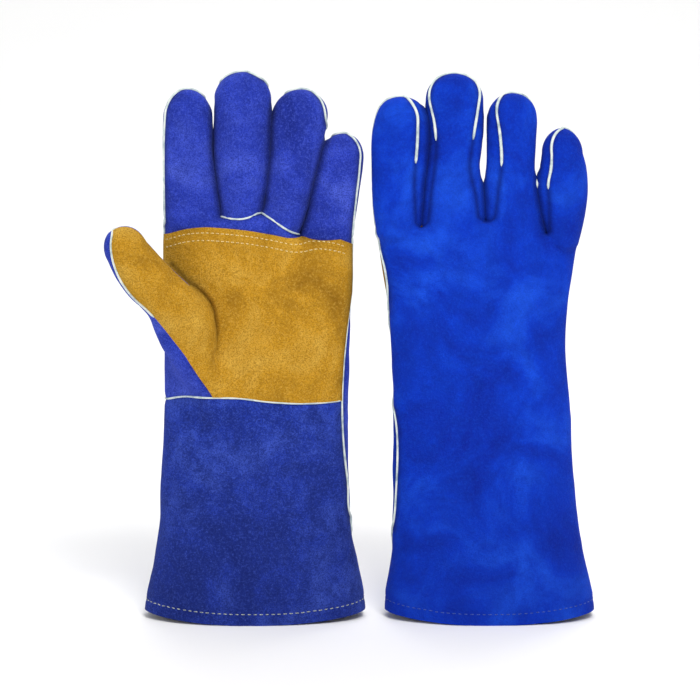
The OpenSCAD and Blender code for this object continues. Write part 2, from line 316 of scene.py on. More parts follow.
def step(x, low, high):
    """From 0 at low to 1 at high, with eased ends."""
    t = np.clip((x - low) / (high - low), 0, 1)
    return t * t * (3 - 2 * t)


def smin(a, b, k):
    """The lesser of a and b, rounded over where they are within k of each other."""
    h = np.clip(0.5 + 0.5 * (b - a) / k, 0, 1)
    return b + (a - b) * h - k * h * (1 - h)


def swell(p, size, seed):
    """Smooth lattice noise from -1 to 1 with lumps of that size in millimetres."""
    q = p / size + 1000
    base = np.floor(q).astype(np.int64)
    f = q - base
    f = f * f * (3 - 2 * f)
    total = 0
    for corner in range(8):
        o = np.array([(corner >> k) & 1 for k in range(3)])
        # A hash of the lattice point, by large primes.
        mixed = np.bitwise_xor.reduce((base + o) * [73856093, 19349663, 83492791], axis=1) ^ (seed * 2654435761)
        mixed = ((mixed ^ (mixed >> 13)) * 1274126177) & 0xFFFFFFFF
        value = (mixed ^ (mixed >> 16)) % 65536 / 32767.5 - 1
        total = total + value * np.prod(np.where(o, f, 1 - f), axis=1)
    return total


def tube(u, v, a, b, n, q=0.0, cap=1.0):
    """Roughly the distance to a tube of superellipse section a by b, closed by a rounded cap where q grows above 0."""
    u, v = np.abs(u) / a, np.abs(v) / b
    g = (u**n + v**n + 1e-9) ** (1 / n)
    gu, gv = (u / g) ** (n - 1) / a, (v / g) ** (n - 1) / b
    f = np.sqrt(g * g + q * q)
    return (f - 1) / np.sqrt((g / f) ** 2 * (gu**2 + gv**2) + (q / (f * cap)) ** 2 + 1e-9)


def oval(angle, a, b):
    """Across and through, round a section of the hand or cuff that is a by b."""
    c, s = np.cos(angle), np.sin(angle)
    power = 2 / SECTION
    return a * np.sign(c) * np.abs(c) ** power, b * np.sign(s) * np.abs(s) ** power


def bell(x, width):
    return np.exp(-((x / width) ** 2))


def distance_to_line(p, line):
    """Across and up only: the distance to a line of (across, up) points."""
    out = np.full(len(p), 1e3)
    for a, b in zip(line, line[1:]):
        a, b = np.array(a, float), np.array(b, float)
        q = p[:, [0, 2]] - a
        t = np.clip(q @ (b - a) / ((b - a) @ (b - a)), 0, 1)
        out = np.minimum(out, np.linalg.norm(q - t[:, None] * (b - a), axis=1))
    return out


def unit(v):
    return v / np.maximum(np.linalg.norm(v, axis=-1, keepdims=True), 1e-9)


def run_length(points):
    """The distance along a line of points, at each of them."""
    return np.concatenate([[0], np.cumsum(np.linalg.norm(np.diff(points, axis=0), axis=1))])


def resampled(at, along, values):
    """values, given at distances along a line, at other distances along it."""
    return np.stack([np.interp(at, along, values[:, k]) for k in range(3)], 1)


class Digit:
    """A finger or thumb. Its two edges give its width, as (along, across) points in millimetres."""

    def __init__(self, root, across, along, length, edges, deep, cap, sink=0.0):
        self.root, self.length, self.cap, self.sink = np.array(root, float), length, cap, sink
        self.x, self.z = np.array(across, float), np.array(along, float)
        self.x = unit(self.x - self.z * (self.x @ self.z))
        self.y = np.cross(self.z, self.x)
        self.left, self.right = edges
        self.deep = deep

    def at(self, along):
        return self.root + self.z * along

    def local(self, p):
        """Across, through (the palm side is negative) and along, in millimetres."""
        r = p - self.root
        s = r @ self.z
        middle = (curve(s, self.left) + curve(s, self.right)) / 2
        return r @ self.x - middle, r @ self.y - self.sink * (1 - step(s, 8, 70)), s

    def half_width(self, s):
        return (curve(s, self.right) - curve(s, self.left)) / 2

    def cap_share(self, s, spare=0.0):
        """How far along its rounded end, from 0 to 1."""
        return np.maximum(s - (self.length - self.cap - spare), 0) / self.cap

    def distance(self, p, spare=0.0):
        """spare makes the digit thinner by that much all round."""
        w, t, s = self.local(p)
        q = self.cap_share(s, spare) + np.maximum(-24 - s, 0) / 12
        return tube(w, t, self.half_width(s) - spare, curve(s, self.deep) - spare, DIGIT_SECTION, q, self.cap)

    def seam_field(self, p, left, right):
        """Above zero on the back. left and right say how far in from each edge the seam runs, by share of the
        length: 0 is the very edge, more is on the back, and less is on the palm side."""
        w, t, s = self.local(p)
        half = self.half_width(s) * np.sqrt(np.maximum(1 - self.cap_share(s) ** 2, 0))
        return shifted_seam(t, half + w, half - w, curve(s / self.length, left), curve(s / self.length, right))


def shifted_seam(back, from_left, from_right, left, right):
    """Moves a side seam, where back is zero, in from each edge: to the back where left or right is above zero."""
    for distance, inset in ((from_left, left), (from_right, right)):
        back = np.where(inset > 0, np.minimum(back, distance - inset), np.maximum(back, -inset - distance))
    return back


def z_over(p, line):
    """Height over a line given as (across, up) points."""
    return p[..., 2] - curve(p[..., 0], line)


# ---- The two gloves ------------------------------------------------------------------------------------------------

# Each glove's outline, from the hem up: height, half width, centre and half thickness.
OUTLINES = {
    "left": [
        (0, 72.9, -2.4, 32.5), (11, 71.8, -2.2, 31), (33, 67.7, -1.6, 28), (54, 64, -1.4, 25.4),
        (93, 61.8, -0.9, 22.2), (141, 60, 0, 19.5), (182, 60.4, 0.5, 18.8), (220, 61.4, 0.9, 17.6),
        (251, 61.6, 1.0, 15.8), (271, 61, 1.9, 14.6),
    ],
    "right": [
        (0, 69.4, 7.9, 32.5), (14, 68.5, 7.8, 30.8), (29, 65.5, 7.1, 28.6), (45, 62.4, 6.2, 26.4),
        (59, 61, 5.1, 24.9), (93, 59.3, 3.9, 22.2), (141, 57.6, 2.5, 19.5), (183, 57.2, -0.5, 18.8),
        (222, 60.6, -0.9, 17.6), (243, 63.8, -1.2, 16.4), (258, 67, -0.4, 15.4), (271, 68.2, 0, 14.6),
    ],
}
# Where the middle of the wrist hinge is across each glove.
WRIST_CENTRE = {"left": -0.4, "right": 0.2}
# The two edges of each finger in the glove's own frame, as (across, up), from its base to its tip.
FINGER_EDGES = {
    "left": {
        "index": (
            [(-60.6, 262), (-60.6, 325), (-59.8, 336)],
            [(-22.4, 262), (-23, 269.5), (-24.5, 280), (-26.5, 295), (-27.9, 306), (-28.3, 320), (-28.6, 336)],
        ),
        "middle": (
            [
                (-22.4, 261), (-22.8, 269.5), (-24.3, 280), (-26.3, 295), (-27.2, 306), (-26.9, 320), (-26.6, 331),
                (-27, 343),
            ],
            [(1, 262), (4.6, 269.5), (6.6, 280), (8, 290), (9, 300), (9.3, 320), (9.7, 336)],
        ),
        "ring": (
            [(1, 262), (4.4, 269.5), (6.4, 280), (7.8, 290), (8.8, 300), (9.9, 312), (10.7, 325), (12, 336)],
            [
                (26.9, 251), (29.9, 259.5), (32.9, 269.5), (35.1, 280), (37.6, 290), (41.7, 306), (45.2, 320),
                (46.8, 330),
            ],
        ),
        "little": (
            [(26.8, 251), (29.7, 259.5), (32.7, 269.5), (35, 280), (37.5, 290), (40.7, 303)],
            [(62.8, 249), (64.1, 259.5), (65.6, 269.5), (67.1, 280), (68.6, 290), (69.5, 300)],
        ),
    },
    "right": {
        "index": (
            [(-67.2, 249), (-68.7, 264), (-69.8, 280), (-70.1, 300), (-69.8, 318), (-67.6, 330)],
            [(-37.5, 256), (-36.5, 270.5), (-35.4, 285), (-33.6, 298), (-32.6, 310), (-33, 325), (-33.6, 338)],
        ),
        "middle": (
            [(-37.5, 256), (-36.3, 270.5), (-35.2, 285), (-33.4, 298), (-32.4, 310), (-32.9, 325), (-35.2, 338)],
            [(4.2, 263), (3.6, 274.5), (2.7, 282), (1, 290), (0.1, 297), (1, 306), (2, 315), (2.5, 328)],
        ),
        "ring": (
            [(4.2, 263), (3.7, 274.5), (3.3, 282), (3.9, 290), (4.7, 300), (4.8, 320), (5, 332)],
            [(43.2, 254), (40.5, 264.5), (38.5, 274.5), (36.8, 287), (36.1, 297), (36.6, 312), (37.5, 325)],
        ),
        "little": (
            [(43.2, 254), (40.6, 264.5), (38.6, 274.5), (37.2, 287), (39.1, 296), (40.4, 305)],
            [(62.5, 243), (65.6, 254), (68.6, 266.5), (70.1, 278), (69.9, 288), (68.6, 298), (66.6, 305)],
        ),
    },
}
# How far the leather's tips stand past the CAD shells', and how much shorter than that each finger is.
TIP_CLEARANCE = 0.4
SHORTER = {"left": (-1.0, -1.2, -0.3, -0.5), "right": (-0.4, -0.4, 0.6, 1.2)}
# The thumb's edges in its own frame, as (along, across).
THUMB_EDGES = (
    [
        (-10, -13), (15, -14.5), (32, -14.5), (44, -12.6), (52, -11.4), (60, -12.9), (68, -15.2), (77, -16.6),
        (87, -17), (98, -15.6),
    ],
    [(-10, 7), (11, 15.4), (21, 20.8), (30, 24), (38, 25), (46, 24), (54, 22.4), (68, 18.6), (82, 15.3), (96, 12.6)],
)
# The line where the fingers start, as (across, up). It dips towards the little finger.
FINGER_BASE = {
    "left": [
        (-70, 263), (-22.4, 264.6), (-15.8, 264), (-8.7, 264), (-3.7, 265.2), (0.5, 267), (9.5, 264.2), (14.5, 260.7),
        (19.6, 257.2), (26, 253.6), (70, 251),
    ],
    "right": [(-75, 257), (-37.5, 258), (-17, 260.5), (4.2, 262), (23, 259), (42, 254), (75, 250)],
}
# The top edge of the palm patch, the same way.
PATCH_TOP = [
    (-66, 250.5), (-59.6, 252.5), (-46, 257), (-33.9, 258.5), (-20.8, 258), (-5.6, 256.5), (9.5, 254), (26.7, 251),
    (39.8, 252.7), (46.9, 252.3), (54.9, 250), (66, 243.5),
]
# How much higher the hem's edge is at its two sides than in its middle, how high it reaches and where it is sewn.
HEM_RISE, HEM, HEM_SEAM = 5.0, 9.0, 7.3
# The wrist seam on the palm side, as (across, up), and the heights between which the wrist bends.
WRIST_SEAM = [(-62, 144), (-50, 147.5), (-28, 148.8), (-10, 147.6), (11, 145), (30, 144), (60, 144.4)]
WRIST_BEND = [(0, 0, 120), (0, 0, 164)]
# How far each side seam sits in from the outline, by height: above zero on the back, below zero on the palm side.
SIDE_SEAM = {
    "left": (
        [(0, 2.5), (225, 2.5), (250, 0), (262, -1.2)],
        [
            (0, 2.5), (50, 2.5), (62, 0), (72, -2), (88, -2.2), (106, -3.6), (143, -4.8), (170, -4.2), (191, -2.9),
            (216, -1), (262, -0.8),
        ],
    ),
    "right": (
        [
            (0, -2), (50, -1), (62, 1), (85, 2.4), (130, 1.6), (145, -0.8), (195, -0.8), (208, 1.2), (240, 1.4),
            (258, -1.5),
        ],
        [(0, -2.5), (262, -2.5)],
    ),
}
# The same on each finger, by share of its length. It twists on to the face that shows.
FINGER_SEAM = {
    "left": {
        "index": ([(0, -1.6), (0.6, -2.2), (1, -2.4)], [(0, 6), (0.8, 5), (0.93, 1.5), (1, -1)]),
        "middle": ([(0, 6), (0.8, 5), (0.93, 1), (1, -1.8)], [(0, 6), (0.75, 5), (0.9, 1), (0.97, -2), (1, -2.2)]),
        "ring": ([(0, 6), (0.8, 5), (0.95, 1), (1, -1.6)], [(0, 6), (0.55, 4.5), (0.7, 1), (0.8, -2), (1, -2.4)]),
        "little": ([(0, 6), (0.8, 5), (0.95, 1), (1, -1.2)], [(0, -1.4), (0.3, -2.2), (0.7, -2.8), (1, -2.4)]),
    },
    "right": {
        "index": ([(0, -1.5), (1, -1.5)], [(0, 4), (0.2, 6), (0.5, 8), (0.7, 7.5), (0.85, 6.5), (0.95, 5), (1, 3)]),
        "middle": (
            [(0, 4), (0.2, 4.5), (0.6, 4), (0.8, 3), (0.92, 1.8), (1, 0.8)],
            [(0, 5), (0.3, 6.5), (0.55, 6.4), (0.75, 4), (0.9, 1.8), (1, 0.5)],
        ),
        "ring": ([(0, 6), (0.2, 8.6), (0.5, 9), (0.75, 7), (0.92, 3.5), (1, 1)], [(0, -2), (1, -2)]),
        "little": ([(0, 3), (0.2, 5.5), (0.5, 7), (0.8, 5.4), (1, 3.2)], [(0, -2), (1, -2)]),
    },
}
# Where the leather closes over the piping: finger, side, and the height it comes out at.
HIDDEN_WELTS = {
    "left": [],
    "right": [
        ("index", "right", 300), ("middle", "left", 314), ("middle", "right", 316), ("ring", "left", 299),
        ("ring", "right", 302), ("little", "left", 284),
    ],
}
# The thumb seam: its place across the thumb by distance along it, and where it goes on over the palm, by height.
THUMB_SEAM = [
    (-14, -2.5), (4, -3.4), (16, -3.6), (34, -5.4), (46, -6.9), (57, -9.1), (72, -13.2), (83, -14), (92, -13),
    (100, -10.8), (108, -7), (114, -2),
]
PALM_SEAM = [(144, -26), (150, -28.5), (165, -38), (175, -44), (190, -54.5), (200, -62), (208, -69), (214, -78)]
# The fold where the thumb meets the palm, as (across, up).
THUMB_FOLD = [
    (-54, 234.5), (-44, 224), (-38.7, 219.6), (-33.4, 214.5), (-29.9, 210), (-27.2, 203), (-25.6, 194), (-25.2, 180),
    (-25, 168),
]
# Creases pressed into the palm side and the back: end points across and up, depth and width.
CREASES = [
    ((-25.5, 190), (-24.6, 168), 1.6, 2.8),
    ((-25, 208), (2, 231), 1.7, 5.0),
    ((-36, 215), (-14, 242), 1.2, 6.0),
    ((-22, 176), (8, 190), 1.5, 6.0),
    ((8, 190), (40, 207), 1.1, 7.0),
    ((-12, 240), (30, 236), 0.9, 6.0),
    ((20, 160), (48, 176), 0.8, 7.0),
]
BACK_CREASES = [
    ((-40, 120), (-20, 150), 0.6, 8.0),
    ((20, 60), (34, 110), 0.7, 9.0),
    ((-30, 200), (-10, 236), 0.6, 9.0),
    ((30, 170), (42, 215), 0.7, 9.0),
]


class Glove:
    def __init__(self, side):
        self.side = side
        self.flip = 1 if side == "left" else -1
        wrist = np.array(joint(side + "_wrist_bend")["pos_m"]) * 1000
        self.outline = np.array(OUTLINES[side])
        self.origin = np.array([wrist[0] - WRIST_CENTRE[side], wrist[1], 0])
        self.fingers = []
        for name, shorter in zip(FINGERS, SHORTER[side]):
            j = joint(f"{side}_{name}_knuckle")
            across = self.inside(np.array(j["axis"]), True) * self.flip
            root = self.inside(np.array(j["pos_m"]) * 1000)
            along = np.cross(across, [0, 1, 0])
            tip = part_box(f"{side}_{name}_tip_back")[1][2] * 1000
            length = (tip - root[2]) / along[2] + TIP_CLEARANCE - shorter
            edges = []
            for points in FINGER_EDGES[side][name]:
                q = np.array([(x, root[1], z) for x, z in points]) - root
                edges.append(np.stack([q @ along, q @ across], 1))
            deep = [(-18, 13.6), (0, 13.6), (0.5 * length, 13.2), (0.85 * length, 12.4)]
            self.fingers.append(Digit(root, across, along, length, edges, deep, 16))
        swing, bend = joint(side + "_thumb_swing"), joint(side + "_thumb_joint")
        root = self.inside(np.array(swing["pos_m"]) * 1000)
        along = self.inside(np.array(bend["pos_m"]) * 1000) - root
        across = self.inside(np.array(bend["axis"]), True) * self.flip
        self.thumb_mid = float(np.linalg.norm(along))
        along = along / self.thumb_mid
        # The thumb's leather leans out a little more than its joints.
        turn = np.radians(2.6)
        c, s = np.cos(turn), np.sin(turn)
        along, across = along * c + across * s, across * c - along * s
        deep = [(-12, 10), (10, 11), (30, 11.6), (60, 12.2), (92, 11.6)]
        self.thumb = Digit(root, across, along, 114, THUMB_EDGES, deep, 16, sink=5.0)

    def inside(self, p, direction=False):
        """From the row frame to the glove's own frame."""
        q = np.array(p, float)
        if not direction:
            q = q - self.origin
        return q * [1, self.flip, 1]

    def outside(self, p):
        """From the glove's own frame to the row frame, in metres."""
        return (p * [1, self.flip, 1] + self.origin) / 1000

    def bends(self):
        """For each zone of the leather: the bodies it bends between, and where the bend starts and ends."""
        out = {"cuff": (["cuff"], None), "palm": (["hand"], None), "hand": (["cuff", "hand"], WRIST_BEND)}
        digits = [(name, d, -7, 12, MIDDLE_JOINT * d.length, 10) for name, d in zip(FINGERS, self.fingers)]
        digits.append(("thumb", self.thumb, -8, 16, self.thumb_mid, 13))
        for name, d, low, high, mid, reach in digits:
            base, tip = name + "_base", name + "_tip"
            out[name + "_lower"] = (["hand", base], [d.at(low), d.at(high)])
            out[name + "_upper"] = ([base, tip], [d.at(mid - reach), d.at(mid + reach)])
        return out

    def section(self, z):
        """Half width, centre and half thickness at each height."""
        return [curve(z, self.outline[:, [0, k]]) for k in (1, 2, 3)]

    def body(self, p):
        x, y, z = p[..., 0], p[..., 1], p[..., 2]
        a, c, b = self.section(z)
        side = tube(x - c, y, a, b, SECTION)
        top = z - (curve(x, FINGER_BASE[self.side]) - 1.5)
        return -smin(-side, -top, 6)

    def on_fingers(self, p):
        """From 0 below the line where the fingers start to 1 above it."""
        return step(self.above_base(p), -6, 4)

    def field(self, p):
        body = self.body(p)
        total = body
        if p[..., 2].max() > 225:
            # Under the line where they start, the fingers shrink into the hand.
            spare = SPARE * self.on_fingers(p) + 4 * (1 - step(self.above_base(p), -12, -4))
            for digit in self.fingers:
                total = np.minimum(total, smin(body, digit.distance(p, spare), 1.6))
        return smin(total, self.thumb_root(p), 12)

    def thumb_root(self, p):
        """The mound on the palm that the thumb grows from: the thumb's own first part, closed by a round end."""
        w, t, s = self.thumb.local(p)
        q = np.maximum(s - 12, 0) / 18 + np.maximum(-24 - s, 0) / 12
        a, b = self.thumb.half_width(s) - 0.6, curve(s, self.thumb.deep) - 0.6
        return tube(w, t, a, b, DIGIT_SECTION, q, 18)

    def thumb_field(self, p):
        """The thumb's own shell. Its lower end narrows inside the mound."""
        s = self.thumb.local(p)[2]
        return self.thumb.distance(p, 7 * (1 - step(s, -2, 14)))

    def finger_of(self, p):
        """Each point's nearest finger."""
        return np.argmin([digit.distance(p) for digit in self.fingers], axis=0)

    def to_next_finger(self, p):
        """Each point's distance to the second nearest finger."""
        return np.sort([digit.distance(p) for digit in self.fingers], axis=0)[1]

    # The seams, as fields that are zero on the seam.

    def behind(self, p):
        """Above zero on the back of the glove, below zero on its palm side."""
        a, c, _ = self.section(p[:, 2])
        left, right = SIDE_SEAM[self.side]
        u = p[:, 0] - c
        place = shifted_seam(p[:, 1], a + u, a - u, curve(p[:, 2], left), curve(p[:, 2], right))
        owner = self.finger_of(p)
        for k, (name, digit) in enumerate(zip(FINGERS, self.fingers)):
            there = digit.seam_field(p, *FINGER_SEAM[self.side][name])
            place = np.where(owner == k, place + (there - place) * self.on_fingers(p), place)
        return place

    def thumb_pad(self, p):
        """Above zero on the tan side of the thumb."""
        _, t, s = self.thumb.local(p)
        across = (p - self.thumb.root) @ self.thumb.x
        return np.minimum(9 - 7.5 * step(s, 38, 60) - t, across - curve(s, THUMB_SEAM))

    def above_hem(self, p):
        """Height over the bottom edge, which rises towards the two sides."""
        _, a, c, _ = self.outline[0]
        return p[:, 2] - HEM_RISE * ((p[:, 0] - c) / a) ** 2

    def above_base(self, p):
        """Height over the line where the fingers start."""
        return z_over(p, FINGER_BASE[self.side])

    def above_wrist(self, p):
        return z_over(p, WRIST_SEAM)

    def on_patch(self, p):
        """Above zero under the palm patch."""
        top = curve(p[:, 0], PATCH_TOP)
        if self.side == "right":
            # This glove's patch is set a little askew.
            top = top + 2 - 4 * step(p[:, 0], 30, 60)
        right_of = p[:, 0] - curve(p[:, 2], PALM_SEAM)
        return np.minimum(top - p[:, 2], np.minimum(right_of, -self.behind(p)))


# ---- Meshing -------------------------------------------------------------------------------------------------------


def surface_nets(values, axes):
    """Quads round the region below zero on a rectilinear grid."""
    inside = values < 0
    cells = np.zeros([n - 1 for n in values.shape], np.int8)
    for c in range(8):
        i, j, k = c & 1, c >> 1 & 1, c >> 2 & 1
        cells += inside[i : i + cells.shape[0], j : j + cells.shape[1], k : k + cells.shape[2]]
    active = np.nonzero((cells > 0) & (cells < 8))
    index = np.full(cells.shape, -1)
    index[active] = np.arange(len(active[0]))
    total, count = np.zeros((len(active[0]), 3)), np.zeros(len(active[0]))
    for axis in range(3):
        for pair in range(4):
            a = [pair & 1, pair >> 1]
            a.insert(axis, 0)
            b = list(a)
            b[axis] = 1
            ia = tuple(active[k] + a[k] for k in range(3))
            ib = tuple(active[k] + b[k] for k in range(3))
            fa, fb = values[ia], values[ib]
            crossed = (fa < 0) != (fb < 0)
            t = np.where(crossed, fa / np.where(crossed, fa - fb, 1), 0)[:, None]
            pa = np.stack([axes[k][ia[k]] for k in range(3)], 1)
            pb = np.stack([axes[k][ib[k]] for k in range(3)], 1)
            total += crossed[:, None] * (pa + (pb - pa) * t)
            count += crossed
    verts = total / count[:, None]
    quads = []
    for axis in range(3):
        u, v = (axis + 1) % 3, (axis + 2) % 3
        low, high = [slice(1, -1)] * 3, [slice(1, -1)] * 3
        low[axis], high[axis] = slice(0, -1), slice(1, None)
        a, b = inside[tuple(low)], inside[tuple(high)]
        where = list(np.nonzero(a != b))
        out = a[tuple(where)]
        where[u], where[v] = where[u] + 1, where[v] + 1
        ring = []
        for du, dv in ((-1, -1), (0, -1), (0, 0), (-1, 0)):
            at = list(where)
            at[u], at[v] = at[u] + du, at[v] + dv
            ring.append(index[tuple(at)])
        q = np.stack(ring, 1)
        quads.append(np.where(out[:, None], q, q[:, ::-1]))
    return verts, np.concatenate(quads)


def pulled(field, p, rounds=2):
    """Points moved on to the field's zero surface, by Newton's steps of no more than 2 mm."""
    eps = 0.25
    for _ in range(rounds):
        f = field(p)
        g = np.stack([(field(p + np.eye(3)[k] * eps) - f) / eps for k in range(3)], 1)
        p = p - g * (f / np.maximum((g * g).sum(1), 1e-6))[:, None].clip(-2, 2)
    return p


def vertex_normals(verts, tris):
    """The mean normals of the triangles round each vertex, by area."""
    n = np.cross(verts[tris[:, 1]] - verts[tris[:, 0]], verts[tris[:, 2]] - verts[tris[:, 0]])
    out = np.zeros_like(verts)
    for k in range(3):
        for axis in range(3):
            out[:, axis] += np.bincount(tris[:, k], n[:, axis], len(verts))
    return unit(out)


def edges_of(tris):
    e = np.concatenate([tris[:, [0, 1]], tris[:, [1, 2]], tris[:, [2, 0]]])
    return np.sort(e, axis=1)


def smoothed(verts, tris):
    """Each vertex moved halfway to the middle of its neighbours."""
    e = np.unique(edges_of(tris), axis=0)
    degree = np.bincount(e.ravel(), minlength=len(verts))[:, None]
    total = np.zeros_like(verts)
    for a, b in ((0, 1), (1, 0)):
        for axis in range(3):
            total[:, axis] += np.bincount(e[:, a], verts[e[:, b], axis], len(verts))
    return 0.5 * verts + 0.5 * total / np.maximum(degree, 1)


def cut(verts, normals, tris, labels, phi, bit):
    """Splits the triangles where phi, given at points, changes sign. Triangles above zero get the label bit."""
    f = phi(verts)
    # A vertex this close to the cut counts as on it, so no slivers are made.
    f = np.where(np.abs(f) < 0.06, 0.0, f)
    above = f > 0
    below = f < 0
    mixed = above[tris].any(1) & below[tris].any(1)
    keep, split = tris[~mixed], tris[mixed]
    keep_labels, split_labels = labels[~mixed], labels[mixed]
    e = edges_of(split)
    crossing = e[(above[e[:, 0]] & below[e[:, 1]]) | (below[e[:, 0]] & above[e[:, 1]])]
    n = len(verts)
    keys, first = np.unique(crossing[:, 0] * n + crossing[:, 1], return_index=True)
    pairs = crossing[first]
    t = (f[pairs[:, 0]] / (f[pairs[:, 0]] - f[pairs[:, 1]]))[:, None]
    verts = np.concatenate([verts, verts[pairs[:, 0]] * (1 - t) + verts[pairs[:, 1]] * t])
    normals = np.concatenate([normals, normals[pairs[:, 0]] * (1 - t) + normals[pairs[:, 1]] * t])
    sign = np.concatenate([np.sign(f), np.zeros(len(pairs))])

    def middle(a, b):
        return n + np.searchsorted(keys, np.minimum(a, b) * n + np.maximum(a, b))

    made, made_labels = [keep], [keep_labels]

    def add(which, *parts):
        for part in parts:
            made.append(np.stack(part, 1))
            made_labels.append(split_labels[which])

    # A corner alone on its side, or a corner on the line with the other two on either side of it.
    for turn in range(3):
        corners = [split[:, (turn + k) % 3] for k in range(3)]
        sa, sb, sc = (sign[c] for c in corners)
        lone = (sa != 0) & (sa == -sb) & (sa == -sc)
        if lone.any():
            a, b, c = (corner[lone] for corner in corners)
            ab, ac = middle(a, b), middle(a, c)
            add(lone, (a, ab, ac), (ab, b, c), (ab, c, ac))
        on = (sa == 0) & (sb == -sc) & (sb != 0)
        if on.any():
            a, b, c = (corner[on] for corner in corners)
            bc = middle(b, c)
            add(on, (a, b, bc), (a, bc, c))
    tris, labels = np.concatenate(made), np.concatenate(made_labels)
    side = sign[tris].sum(1) > 0
    flat = (sign[tris] == 0).all(1)
    if flat.any():
        side[flat] = phi(verts[tris[flat]].mean(1)) > 0
    return verts, normals, tris, labels | np.where(side, bit, 0)


def chains(edges):
    """Edges joined into the longest runs of vertices they allow."""
    near = {}
    for a, b in edges.tolist():
        near.setdefault(a, []).append(b)
        near.setdefault(b, []).append(a)
    used, out = set(), []
    for start in [v for v in near if len(near[v]) != 2] + list(near):
        for here in near[start]:
            if frozenset((start, here)) in used:
                continue
            run = [start]
            while True:
                used.add(frozenset((run[-1], here)))
                run.append(here)
                following = [v for v in near[here] if frozenset((v, here)) not in used]
                if len(near[here]) != 2 or not following:
                    break
                here = following[0]
            out.append(run)
    return sorted(out, key=len, reverse=True)


def sleeve(rows, cols):
    """Quads round a tube made of rows rings with cols points each."""
    i, k = (v.ravel() for v in np.meshgrid(np.arange(rows - 1), np.arange(cols), indexing="ij"))
    a, b = i * cols + k, i * cols + (k + 1) % cols
    return np.stack([a, b, b + cols, a + cols], 1)


def border(tris, one, other):
    """The edges where two groups of triangles meet."""
    if not one.any() or not other.any():
        return np.zeros((0, 2), int)
    a, b = edges_of(tris[one]), edges_of(tris[other])
    n = int(tris.max()) + 1
    shared = np.intersect1d(a[:, 0] * n + a[:, 1], b[:, 0] * n + b[:, 1])
    return np.stack([shared // n, shared % n], 1)


# ---- Blender objects -----------------------------------------------------------------------------------------------


def make_object(name, verts, faces, material, rest, loop_normals=None, seam=None):
    mesh = bpy.data.meshes.new(name)
    mesh.from_pydata(verts.tolist(), [], faces)
    mesh.polygons.foreach_set("use_smooth", np.ones(len(mesh.polygons), bool))
    at = mesh.attributes.new("rest", "FLOAT_VECTOR", "POINT")
    at.data.foreach_set("vector", rest.astype(np.float32).ravel())
    # The darkening layer the leather reads: wear along the seams, painted shade between the fingers and in the thumb's
    # fold.
    wear_and_shade_layer = mesh.attributes.new("seam", "FLOAT", "POINT")
    wear_and_shade_layer.data.foreach_set("value", (np.zeros(len(verts)) if seam is None else seam).astype(np.float32))
    mesh.materials.append(material)
    mesh.validate()
    if loop_normals is not None:
        mesh.normals_split_custom_set(loop_normals.tolist())
    obj = bpy.data.objects.new(name, mesh)
    bpy.context.collection.objects.link(obj)
    return obj


